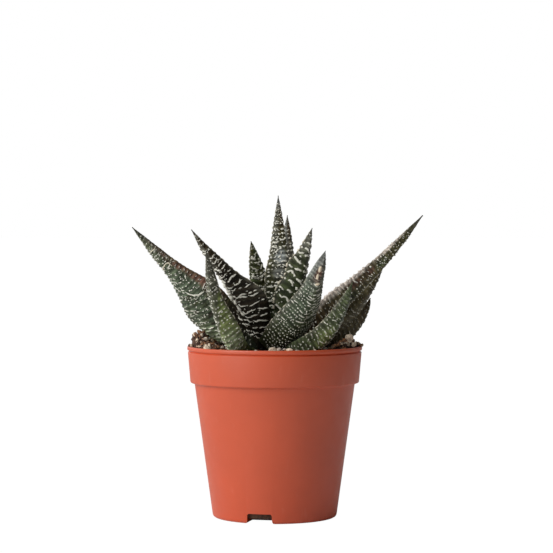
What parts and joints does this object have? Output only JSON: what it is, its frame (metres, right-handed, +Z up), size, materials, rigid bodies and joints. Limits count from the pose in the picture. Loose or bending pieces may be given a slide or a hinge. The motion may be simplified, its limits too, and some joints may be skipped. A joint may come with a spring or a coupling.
{
  "type": "potted haworthia",
  "caption": "Potted haworthia: a rosette of stiff, pointed, keeled leaves banded with pale tubercles, in gritty soil in a small tapered nursery pot with a rim collar and drain notches.",
  "frame": {"origin": "middle of the pot's flat underside", "axes": "+Z up along the pot's axis, -Y towards the front from which the two long side leaves spread left and right, +X to the viewer's right"},
  "size_m": [0.0993, 0.0605, 0.1101],
  "materials": {
    "pot": "satin moulded plastic, faint scuffs",
    "soil": "crumbly dark reddish peat with pale grit",
    "stem": "fibrous, dull",
    "leaf": "firm waxy skin, dark green to brown, with raised white tubercles in cross bands"
  },
  "bodies": {
    "root": {"pot": "pot", "soil": "soil", "stem": "stem", "leaf_centre_tall": "leaf", "leaf_centre_right": "leaf", "leaf_centre_behind": "leaf", "leaf_centre_left": "leaf", "leaf_front_right": "leaf", "leaf_left_upper": "leaf", "leaf_right_long": "leaf", "leaf_back_upper": "leaf", "leaf_front_left": "leaf", "leaf_front_low": "leaf", "leaf_left_long": "leaf", "leaf_right_under": "leaf", "leaf_back_left": "leaf", "leaf_back_right": "leaf", "leaf_right_low": "leaf", "leaf_left_low": "leaf", "leaf_right_behind": "leaf", "leaf_back_low": "leaf"}
  },
  "joints": []
}
